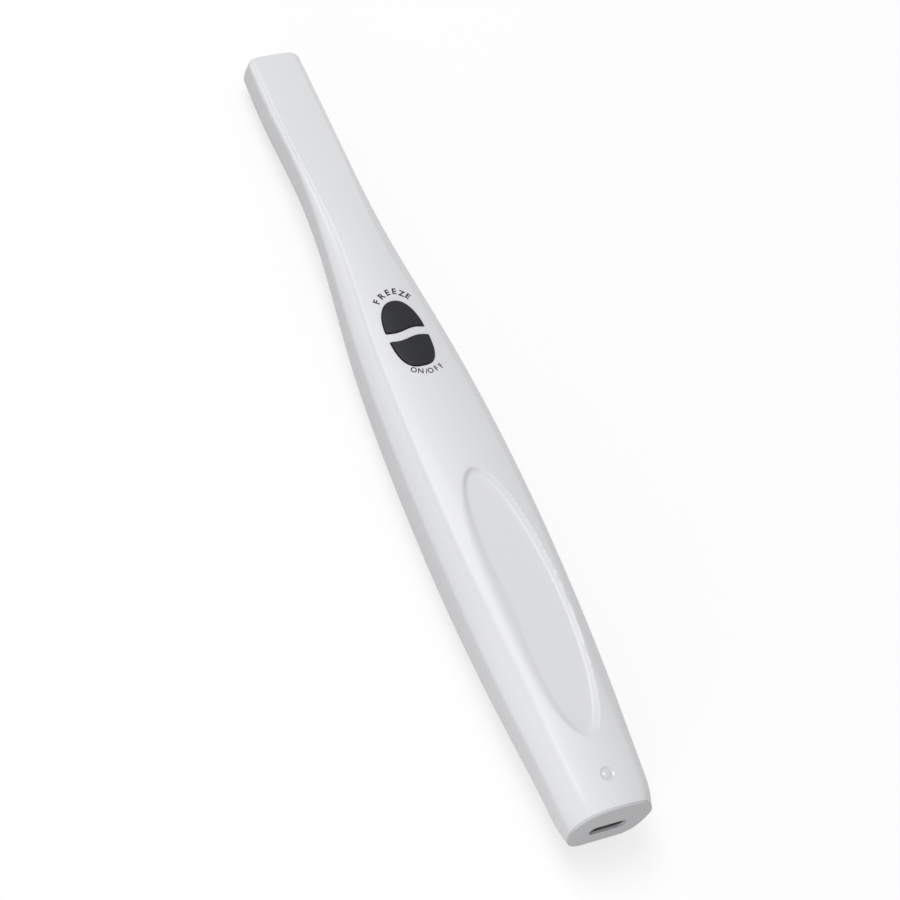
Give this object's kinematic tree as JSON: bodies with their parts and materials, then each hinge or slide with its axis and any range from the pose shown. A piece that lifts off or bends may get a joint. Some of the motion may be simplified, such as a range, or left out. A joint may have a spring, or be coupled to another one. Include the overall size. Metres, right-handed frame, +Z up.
{
  "type": "intraoral camera",
  "caption": "Hand-held dental camera: slender neck and viewing head, broad handle with thumb recess, freeze and power keys, grey tail cap with socket.",
  "frame": {"origin": "under the middle of the camera's box, on the surface that its flat belly lies on", "axes": "+X from the tail cap to the viewing tip, +Y to the left seen from above with the tip ahead, +Z up out of the key side"},
  "size_m": [0.2054, 0.028, 0.0199],
  "materials": {
    "white_shell": "glossy near-white moulding with a soft sheen",
    "grey_cap": "satin mid-grey moulding",
    "key_grey": "dark grey semi-gloss moulding",
    "light_pipe": "milky translucent moulding",
    "board_green": "green solder resist",
    "package_black": "black moulded package",
    "can_steel": "plain drawn steel",
    "ceramic_white": "fired ceramic",
    "cell_foil": "soft foil pouch",
    "lead_sleeve": "soft insulation",
    "ribbon_amber": "thin amber film",
    "optic_black": "matt black anodised look",
    "optic_glass": "clear coated glass",
    "bezel_metal": "fine turned ring",
    "lamp_white": "lamp package with pale yellow fill"
  },
  "bodies": {
    "handset": {"upper_shell": "white_shell", "lower_shell": "white_shell", "end_cap": "grey_cap", "freeze_switch": "can_steel", "power_switch": "can_steel", "main_board": "board_green", "board_screws": "can_steel", "image_processor": "package_black", "memory_chip": "package_black", "radio_module": "can_steel", "power_chip": "package_black", "antenna": "ceramic_white", "flex_connector": "package_black", "battery_connector": "ceramic_white", "indicator_led": "lamp_white", "battery_cell": "cell_foil", "battery_leads": "lead_sleeve", "head_flex": "ribbon_amber", "sensor_board": "board_green", "image_sensor": "package_black", "lens_holder": "optic_black", "lens_barrel": "optic_black", "front_lens": "optic_glass", "rear_lens": "optic_glass", "light_board": "board_green", "light_leds": "lamp_white", "window_bezel": "bezel_metal", "window_pane": "optic_glass", "indicator_lens": "light_pipe", "socket_shell": "can_steel", "socket_tongue": "package_black"},
    "freeze_key": {"freeze_button": "key_grey", "freeze_stem": "package_black"},
    "power_key": {"power_button": "key_grey", "power_stem": "package_black"}
  },
  "joints": [
    {"name": "freeze_press", "type": "slide", "parent": "handset", "child": "freeze_key", "axis": [0, 0, -1], "range_m": [0, 0.0006], "stiffness_N_per_m": 400, "springref_m": -0.001},
    {"name": "power_press", "type": "slide", "parent": "handset", "child": "power_key", "axis": [0, 0, -1], "range_m": [0, 0.0006], "stiffness_N_per_m": 400, "springref_m": -0.001}
  ]
}
